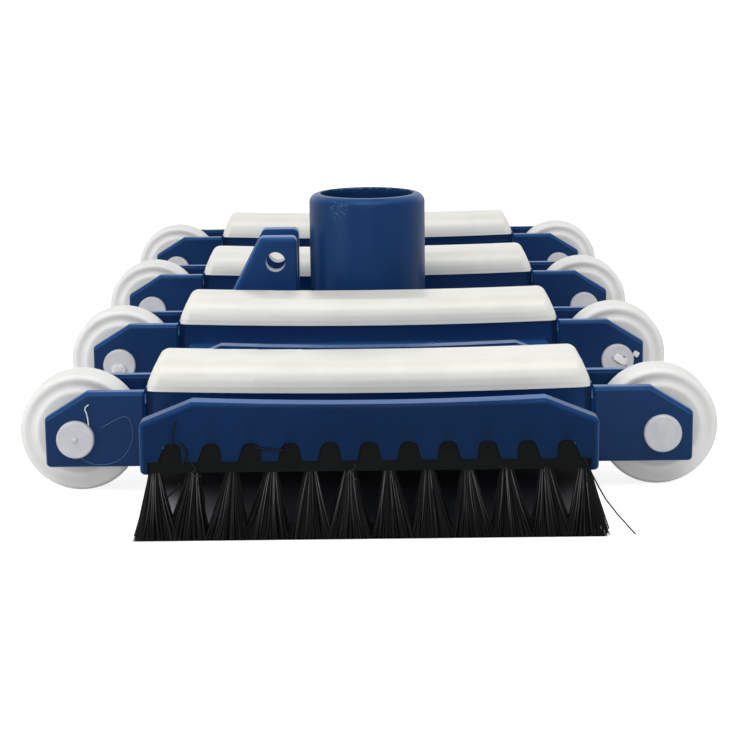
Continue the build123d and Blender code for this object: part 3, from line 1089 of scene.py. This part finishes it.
@dataclass
class Castings:
    """The carried-over solids, dressed as they come or replaced by smooth copies where light shows facets."""

    nodes: dict[str, bpy.types.Object]

    def dress(self, palette: Palette) -> None:
        """Give every solid its finish.

        Args:
            palette: The finishes.
        """
        for name, node in self.nodes.items():
            casting = next(casting for casting in CASTINGS if name.startswith(casting.start))
            dress(node, palette[casting.finish])
            if casting.skin is not Skin.AS_IS:
                copy = smooth_copy(node, f"{name}_skin", casting.skin is Skin.FLAT)
                if casting.skin is Skin.WHEEL:
                    WheelRings().shape(copy)
                show(copy, palette[casting.finish], body_of(node)[0])
                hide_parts(name)
            LOG.info("dressed %s", name)


@dataclass
class BrushEnd:
    """The twelve tufts of one end, filament by filament, trimmed straight and level."""

    end: str
    count: int = 12
    filaments: int = 230
    # A few paler filaments on the front of each tuft, as painted highlight.
    glint_filaments: int = 8
    glint_arc: float = 1.5
    glint_jitter: float = 0.1
    glint_swing: float = 0.15
    glint_reach: Span = (0.98, 1.06)
    knotted: tuple[int, ...] = (0, 1, 1, 1, 5, 5, 5, 9, 10)
    knot_out: float = 2.7 * MM
    knot_lift: float = 0.3 * MM
    knot_side: Span = (-1.0 * MM, 0.6 * MM)
    knot_rise: Span = (-0.5 * MM, 0.4 * MM)
    knot_bends: int = 6
    knot_turn: float = 1.6
    knot_stride: Span = (0.35 * MM, 0.7 * MM)
    radius: float = 0.16 * MM
    glint_thinness: float = 0.8
    knot_thinness: float = 0.7
    root_reach: float = 1.2 * MM
    tip_half_width: float = 5.15 * MM
    tip_half_depth: float = 4.2 * MM
    early_flare: float = 0.85
    root_z: float = 17.4 * MM
    knot_z: float = 16.9 * MM
    tip_z: float = 0.5 * MM
    trim_play: float = 0.06 * MM
    leans: tuple[float, ...] = (-0.2, -1.9, -1.7, -1.7, -0.6, 0.0, 1.1, 0.7, 1.1, 1.5, 1.9, 0.8)
    bow: float = 0.16 * MM
    drift: float = 0.25 * MM
    stray_chance: float = 0.02
    stray: float = 3.5
    crowding: float = 0.42
    seed: int = 11

    def filament(
        self, dice: random.Random, centre: Vector, turn: float, reach: float, loose: float = 1.0
    ) -> list[Vector]:
        """One filament, from its round root in the strip to the square trimmed tip of the tuft.

        Args:
            dice: The source of chance.
            centre: The tuft's place in plan.
            turn: Its direction from the tuft's middle.
            reach: How far out in the tuft it stands, from 0 to 1.
            loose: How far it strays from its neighbours, 1 being usual.

        Returns:
            Its control points.
        """
        across, along = math.cos(turn), math.sin(turn)
        corner = 1 / max(abs(across), abs(along)) - 1
        bow_x, bow_y = (dice.gauss(0, self.bow) * loose for _ in range(2))
        drift_x, drift_y = (dice.gauss(0, self.drift) * loose for _ in range(2))
        tip_z = self.tip_z + dice.uniform(0, self.trim_play)
        tuft = min(self.count - 1, max(0, round(centre.x / TUFT_PITCH + (self.count - 1) / 2)))
        lean = self.leans[tuft] * MM
        path = []
        for share in (0.0, 0.33, 0.68, 1.0):
            grown = self.early_flare * share + (1 - self.early_flare) * share * share
            out = reach * (1 + corner * grown)
            wide = self.root_reach + (self.tip_half_width - self.root_reach) * grown
            deep = self.root_reach + (self.tip_half_depth - self.root_reach) * grown
            bent = math.sin(math.pi * share)
            x = centre.x + lean * share + across * out * wide + bow_x * bent + drift_x * share
            y = along * out * deep + bow_y * bent + drift_y * share
            y = centre.y + max(-self.tip_half_depth, min(self.tip_half_depth, y))
            path.append(Vector((x, y, self.root_z + (tip_z - self.root_z) * share)))
        return path

    def knot(self, dice: random.Random, centre: Vector, outward: float) -> list[Vector]:
        """One crumpled end of filament that sticks out at a tuft's root.

        Args:
            dice: The source of chance.
            centre: The tuft's place in plan.
            outward: The Y direction that faces away from the head, 1 or -1.

        Returns:
            Its control points.
        """
        heading = dice.uniform(0, 2 * math.pi)
        side, rise = dice.uniform(*self.knot_side), dice.uniform(*self.knot_rise)
        face_y = centre.y + outward * self.knot_out
        path = []
        for _ in range(self.knot_bends):
            out = outward * dice.uniform(0, self.knot_lift)
            path.append(Vector((centre.x + side, face_y + out, self.knot_z + rise)))
            heading += dice.uniform(-self.knot_turn, self.knot_turn)
            stride = dice.uniform(*self.knot_stride)
            side += stride * math.cos(heading)
            rise += stride * math.sin(heading)
        return path

    def build(self, palette: Palette) -> None:
        """Build and dress this end's filaments.

        Args:
            palette: The finishes.
        """
        low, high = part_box(f"bristle_tufts_{self.end}")
        middle = (low + high) / 2
        outward = math.copysign(1.0, middle.y)
        dice = random.Random(f"{self.seed} {self.end}")
        dark, glints, knots = [], [], []
        for index in range(self.count):
            step = index - (self.count - 1) / 2
            centre = Vector((middle.x + step * TUFT_PITCH, middle.y, 0))
            for _ in range(self.filaments):
                loose = self.stray if dice.random() < self.stray_chance else 1.0
                turn = dice.uniform(0, 2 * math.pi)
                dark.append(self.filament(dice, centre, turn, dice.random() ** self.crowding, loose))
            # The painted-highlight filaments, fanned across the tuft's outer face.
            middle_turn = dice.gauss(0, self.glint_swing)
            for number in range(self.glint_filaments):
                aside = (number / (self.glint_filaments - 1) - 0.5) * self.glint_arc
                aside += dice.gauss(0, self.glint_jitter)
                turn = outward * (math.pi / 2 + middle_turn + aside)
                glints.append(self.filament(dice, centre, turn, dice.uniform(*self.glint_reach)))
            knots += [self.knot(dice, centre, outward) for _ in range(self.knotted.count(index))]
        pieces = (
            strands(f"bristles_{self.end}", dark, self.radius),
            strands(f"glint_bristles_{self.end}", glints, self.radius * self.glint_thinness),
            strands(f"bristle_knots_{self.end}", knots, self.radius * self.knot_thinness),
        )
        for piece, finish in zip(pieces, ("bristle_black", "bristle_glint", "bristle_knot")):
            show(piece, palette[finish], "head")
        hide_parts(f"bristle_tufts_{self.end}")


@dataclass(frozen=True)
class Fibre:
    """One stray fibre, thread of flash or strand of painted shadow, with its radius and control points in
    millimetres.
    """

    name: str
    radius: float
    points: tuple[Point, ...]
    finish: str = "bristle_black"
    slot: Slot = Slot.BRISTLE_BLACK

    def build(self, palette: Palette) -> None:
        """Build and dress it.

        Args:
            palette: The finishes.
        """
        path = [Vector(point) * MM for point in self.points]
        show(strands(self.name, [path], self.radius * MM), palette[self.finish], "head")


@dataclass(frozen=True)
class Stub:
    """One uneven stub that a mould's gate or parting left, or a dark lump of painted shadow, with its place
    and radii in millimetres.
    """

    name: str
    place: Point
    size: Point
    roughness: float
    seed: int
    finish: str = "lint_white"
    slot: Slot = Slot.PIN_WHITE
    body: str = "head"
    lean: float = 0.0
    chip: bool = False
    grain: float = 0.3
    pattern_step: Point = (7.1, 3.7, 0.0)

    def blank(self) -> bpy.types.Object:
        """Add the even lump, 1 in radius, that the stub is made from.

        Returns:
            A ball, or a softened block for a chip.
        """
        deselect_all()
        if self.chip:
            bpy.ops.mesh.primitive_cube_add(size=1.8, location=(0, 0, 0))
            bpy.ops.object.mode_set(mode="EDIT")
            bpy.ops.mesh.select_all(action="SELECT")
            bpy.ops.mesh.subdivide(number_cuts=7, smoothness=0.15)
            bpy.ops.object.mode_set(mode="OBJECT")
        else:
            bpy.ops.mesh.primitive_ico_sphere_add(subdivisions=4, radius=1.0, location=(0, 0, 0))
        return bpy.context.view_layer.objects.active

    def build(self, palette: Palette) -> None:
        """Build and dress it.

        Args:
            palette: The finishes.
        """
        piece = self.blank()
        away = Vector([self.seed * step for step in self.pattern_step])
        for vertex in piece.data.vertices:
            vertex.co += away
        roughen(piece, self.name, self.grain, self.roughness)
        for vertex in piece.data.vertices:
            vertex.co -= away
        piece.scale = [value * MM for value in self.size]
        piece.rotation_euler = (0, self.lean, 0)
        piece.location = Vector(self.place) * MM
        bpy.ops.object.shade_smooth()
        show(settle(piece, self.name), palette[self.finish], self.body)


@dataclass
class Blemishes:
    """The small flaws that handling and moulding left on the near end, with a few strands and lumps of
    painted shadow and a ring that is partly painted highlight among them, with their places in millimetres.
    """

    pin_x: float = AXLE_X / MM
    pin_z: float = AXLE_Z / MM
    first_face_y: float = -156.5
    second_face_y: float = -61.5
    rim_z: float = 60.1
    rim_seed: int = 5
    trim_z: float = 60.2
    trim_radii: Span = (15.6, 0.21)

    def loose_bristles(self) -> Iterable[Fibre]:
        """Bristles that slipped out of their tufts.

        Returns:
            The bristles.
        """
        slid = (51.2, -195.2, 19.4), (53.6, -196.6, 14.6), (57.0, -197.8, 8.2), (63.4, -198.2, 1.3)
        yield Fibre("loose_bristle_right", 0.2, slid)
        risen = (-47.2, -195.3, 23.0), (-47.0, -195.5, 25.0), (-46.8, -195.5, 27.4), (-45.9, -195.3, 29.6)
        yield Fibre("loose_bristle_upright", 0.24, risen)
        level = (-27.2, -195.2, 23.0), (-25.4, -195.5, 22.5), (-23.2, -195.5, 22.3), (-20.4, -195.2, 22.1)
        yield Fibre("loose_bristle_across", 0.26, level)
        hung = (-26.9, -195.2, 23.2), (-26.3, -195.5, 21.8), (-26.0, -195.5, 20.4), (-25.8, -195.1, 18.9)
        yield Fibre("loose_bristle_hanging", 0.2, hung)
        curled = (-45.2, -195.2, 24.2), (-43.9, -195.5, 23.2), (-43.1, -195.5, 21.0), (-44.5, -195.2, 19.0)
        yield Fibre("loose_bristle_curl", 0.26, curled)
        low = (-45.0, -196.3, 14.6), (-46.4, -197.0, 13.2), (-47.8, -197.0, 11.8), (-49.0, -196.4, 10.6)
        yield Fibre("loose_bristle_low", 0.24, low)

    def fibres(self) -> Iterable[Fibre]:
        """The hair on the left yoke, the curl of flash by the left pin and a dark grey strand of painted
        shadow in the torn pin's groove.

        Returns:
            The fibres.
        """
        hair = (
            (-69.3, -155.15, 18.6),
            (-66.0, -155.2, 20.4),
            (-62.3, -155.2, 22.2),
            (-60.9, -155.2, 18.6),
            (-61.3, -155.2, 13.8),
            (-64.6, -155.2, 9.6),
            (-69.2, -155.2, 8.6),
            (-73.2, -155.2, 9.2),
            (-76.2, -155.15, 11.8),
        )
        yield Fibre("hair", 0.09, hair, "hair_blue", Slot.BLUE_PLASTIC)
        flash = (-72.2, -156.6, 19.6), (-72.3, -156.4, 22.4), (-73.5, -156.0, 24.2), (-72.1, -155.8, 24.9)
        yield Fibre("flash_curl", 0.17, flash, "lint_white", Slot.PIN_WHITE)
        x, y, z = self.pin_x, self.second_face_y - 0.05, self.pin_z
        # A dark grey strand painted as the shadow in the torn pin's groove.
        groove = (x - 1.9, y, z + 1.1), (x - 1.2, y, z + 0.1), (x + 0.3, y, z - 1.1), (x + 2.7, y, z - 1.7)
        yield Fibre("torn_groove_shadow", 0.13, groove, "shade_grey", Slot.PIN_WHITE)

    def stubs(self) -> Iterable[Stub]:
        """The gate marks on three pins, a dark grey lump of painted shadow by the flake, a crumb on a fold
        and the flash inside the port's rim.

        Returns:
            The stubs.
        """
        x, z, face = self.pin_x, self.pin_z, self.second_face_y
        yield Stub("gate_nub", (-x, self.first_face_y, z), (0.75, 0.3, 0.75), 0.3, 1, "pin_white")
        yield Stub("torn_gate_middle", (-x - 0.1, face, z - 1.1), (2.3, 0.5, 1.6), 0.9, 2)
        yield Stub("torn_gate_left", (-x - 1.6, face - 0.1, z - 1.7), (0.9, 0.5, 0.7), 0.5, 6)
        yield Stub("torn_gate_right", (-x + 1.4, face - 0.1, z - 1.6), (0.8, 0.45, 0.7), 0.5, 7)
        yield Stub("torn_flake", (x + 0.8, face, z + 0.3), (2.1, 0.4, 1.15), 0.3, 3, lean=0.55, chip=True)
        # A dark grey lump painted as the shadow in a small hole by the flake.
        yield Stub("flake_hole_shadow", (x + 1.8, face - 0.42, z + 1.2), (0.3, 0.12, 0.3), 0.2, 8, "shade_grey")
        yield Stub("flash_tab", (x + 5.6, face + 0.9, z + 1.8), (0.9, 0.45, 0.8), 0.5, 4, lean=0.5, chip=True)
        yield Stub("fold_crumb", (18.2, -97.0, 28.6), (0.5, 0.3, 0.25), 0.5, 5, "hair_blue", Slot.BLUE_VINYL)
        big, small = (0.5, 0.25, 0.28), (0.3, 0.2, 0.2)
        rim = (-4.1, -15.0, big), (1.4, -15.5, big), (2.6, -15.3, small), (-6.5, -14.2, small)
        for number, (flash_x, flash_y, size) in enumerate(rim, start=1):
            name, place, seed = f"rim_flash_{number}", (flash_x, flash_y, self.rim_z), self.rim_seed + number
            yield Stub(name, place, size, 0.6, seed, "rim_blue", Slot.PORT_BLUE, "port")

    def build_rim_trim(self, palette: Palette) -> None:
        """Build the fine uneven ring of trimmed flash on the inner edge of the port's mouth; its very pale
        colour is partly a painted highlight of the lip's lit edge.

        Args:
            palette: The finishes.
        """
        deselect_all()
        major, minor = (radius * MM for radius in self.trim_radii)
        ring = dict(major_segments=120, minor_segments=8, major_radius=major, minor_radius=minor)
        bpy.ops.mesh.primitive_torus_add(location=(0, 0, self.trim_z * MM), **ring)
        piece = bpy.context.view_layer.objects.active
        roughen(piece, "rim_trim", grain=1.6 * MM, strength=0.18 * MM)
        bpy.ops.object.shade_smooth()
        show(settle(piece, "rim_trim"), palette["trim_highlight_blue"], "port")

    def build(self, palette: Palette) -> None:
        """Build every flaw.

        Args:
            palette: The finishes.
        """
        for flaw in (*self.loose_bristles(), *self.fibres(), *self.stubs()):
            flaw.build(palette)
        self.build_rim_trim(palette)


# ---------- Studio ----------
@dataclass
class Floor:
    """The pale floor, which glows where it is open and stays shaded under the head."""

    size: float = 12.0
    side_x: Span = (55.3 * MM, 56.6 * MM)
    end_y: Span = (195.2 * MM, 195.7 * MM)
    middle_y: Span = (150 * MM, 120 * MM)
    middle_extra: float = 3 * MM
    brush_y: Span = (188 * MM, 191 * MM)
    brush_extra: float = 1.2 * MM
    near_y: Span = (140 * MM, 192 * MM)
    corner_x: Span = (-33 * MM, -50 * MM)
    contact_y: Span = (178 * MM, 184 * MM)
    least_light: float = 0.06
    near_light: float = 0.2
    corner_light: float = 0.72
    contact_loss: float = 0.95
    far: Span = (0.5, 1.6)
    glow: float = 0.84
    far_glow: float = 0.3
    open_grey: float = 0.5
    unseen_grey: float = 0.8

    def open_share(self, side: Wire, along: Wire) -> Wire:
        """Where the floor is open.

        Args:
            side: The distance from the head's middle plane.
            along: The distance from its middle towards an end.

        Returns:
            0 under the head and 1 beside it and beyond its ends.
        """
        extra = along.ramp(*self.middle_y) * self.middle_extra + along.ramp(*self.brush_y) * self.brush_extra
        return (side - extra).ramp(*self.side_x).most(along.ramp(*self.end_y))

    def light_under(self, x: Wire, along: Wire) -> Wire:
        """How pale the floor stays under the head: paler by an end's left corner, dark under the brush.

        Args:
            x: The side coordinate.
            along: The distance from the head's middle towards an end.

        Returns:
            The grey level, from 0 to 1.
        """
        near = along.ramp(*self.near_y)
        level = near * self.near_light + self.least_light + x.ramp(*self.corner_x) * near * self.corner_light
        return level * (1.0 - along.ramp(*self.contact_y) * self.contact_loss)

    def build(self) -> None:
        """Lay the floor."""
        deselect_all()
        bpy.ops.mesh.primitive_plane_add(size=self.size, location=(0, 0, 0))
        floor = bpy.context.view_layer.objects.active
        floor.name = "floor"
        material, graph = blank_material("floor")
        x, y, _ = graph.position()
        along = abs(y)
        open_floor, under = self.open_share(abs(x), along), self.light_under(x, along)
        away = graph.wire("ShaderNodeVectorMath", {0: graph.coordinates()}, "Value", operation="LENGTH")
        strength = open_floor * (away.ramp(*self.far) * self.far_glow + self.glow)
        level = graph.wire("ShaderNodeCombineColor", dict.fromkeys(range(3), under))
        colour = graph.mix(open_floor, level, grey(self.open_grey))
        glow = graph.wire("ShaderNodeEmission", {"Strength": strength})
        pale = graph.wire("ShaderNodeBsdfDiffuse", {"Color": colour})
        shown = graph.wire("ShaderNodeAddShader", {0: glow, 1: pale})
        dim = graph.wire("ShaderNodeBsdfDiffuse", {"Color": grey(self.unseen_grey)})
        both = graph.wire("ShaderNodeMixShader", {0: graph.camera_sees(), 1: dim, 2: shown})
        graph.add("ShaderNodeOutputMaterial", {"Surface": both})
        dress(floor, material)


@dataclass(frozen=True)
class SoftBox:
    """One soft box that faces the middle of the head, with its power in watts."""

    name: str
    place: Point
    size: Span
    power: float
    aim: Point = (0.0, 0.0, 20 * MM)

    def build(self) -> None:
        """Hang it."""
        data = bpy.data.lights.new(self.name, "AREA")
        data.shape = "RECTANGLE"
        data.size, data.size_y = self.size
        data.energy = self.power
        lamp = bpy.data.objects.new(self.name, data)
        bpy.context.scene.collection.objects.link(lamp)
        lamp.location = self.place
        lamp.rotation_mode = "QUATERNION"
        lamp.rotation_quaternion = (Vector(self.aim) - lamp.location).to_track_quat("-Z", "Y")


SOFT_BOXES = (
    SoftBox("key_box", (0.0, -0.75, 1.319), (1.5, 1.1), 13.1),
    SoftBox("side_box", (-1.0517, -0.7641, 0.345), (0.35, 0.9), 3.0),
    SoftBox("front_fill", (0.0, -1.45, 0.36), (0.7, 0.25), 1.6),
)


@dataclass
class Studio:
    """The camera and the grey surround, with the soft boxes and the floor."""

    lens: float = 96.0
    place: Point = (0.29 * MM, -657.82 * MM, 138.06 * MM)
    pitch: float = math.radians(11.767)
    yaw: float = math.radians(0.1564)
    roll: float = math.radians(-0.597)
    behind: Span = (-0.2, 0.85)
    low_down: Span = (0.75, 0.35)
    front_glow: float = 0.42
    back_glow: float = 1.0

    def build_camera(self) -> None:
        """Place the camera at standing height in front of the head's near end."""
        data = bpy.data.cameras.new("camera")
        data.lens = self.lens
        data.sensor_width = 36.0
        data.sensor_fit = "HORIZONTAL"
        data.clip_start = 0.01
        data.clip_end = 20.0
        camera = bpy.data.objects.new("camera", data)
        bpy.context.scene.collection.objects.link(camera)
        turn = Matrix.Rotation(-self.yaw, 4, "Z") @ Matrix.Rotation(math.pi / 2 - self.pitch, 4, "X")
        camera.matrix_world = Matrix.Translation(self.place) @ turn @ Matrix.Rotation(self.roll, 4, "Z")
        bpy.context.scene.camera = camera

    def build_surround(self) -> None:
        """Set the grey surround, which glows low down behind the head and is white to the camera."""
        world = bpy.data.worlds.new("surround")
        bpy.context.scene.world = world
        world.use_nodes = True
        world.node_tree.nodes.clear()
        graph = Graph(world.node_tree)
        _, back, up = graph.split(graph.wire("ShaderNodeTexCoord", output="Generated"))
        share = back.ramp(*self.behind) * up.ramp(*self.low_down)
        glow = graph.mix(share, grey(self.front_glow), grey(self.back_glow))
        colour = graph.mix(graph.camera_sees(), glow, grey(1.0))
        sky = graph.wire("ShaderNodeBackground", {"Color": colour, "Strength": 1.0})
        graph.add("ShaderNodeOutputWorld", {"Surface": sky})

    def build(self) -> None:
        """Set up everything round the object."""
        self.build_camera()
        for box in SOFT_BOXES:
            box.build()
        self.build_surround()
        Floor().build()
        bpy.context.scene.view_settings.view_transform = "Standard"


def main() -> None:
    """Build the whole scene in order."""
    logging.basicConfig(level=logging.INFO, format="%(message)s")
    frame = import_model()
    Studio().build()
    palette = Palette(Effects())
    Castings(frame["nodes"]).dress(palette)
    for end in ENDS:
        BrushEnd(end).build(palette)
    Blemishes().build(palette)


if __name__ == "__main__":
    main()
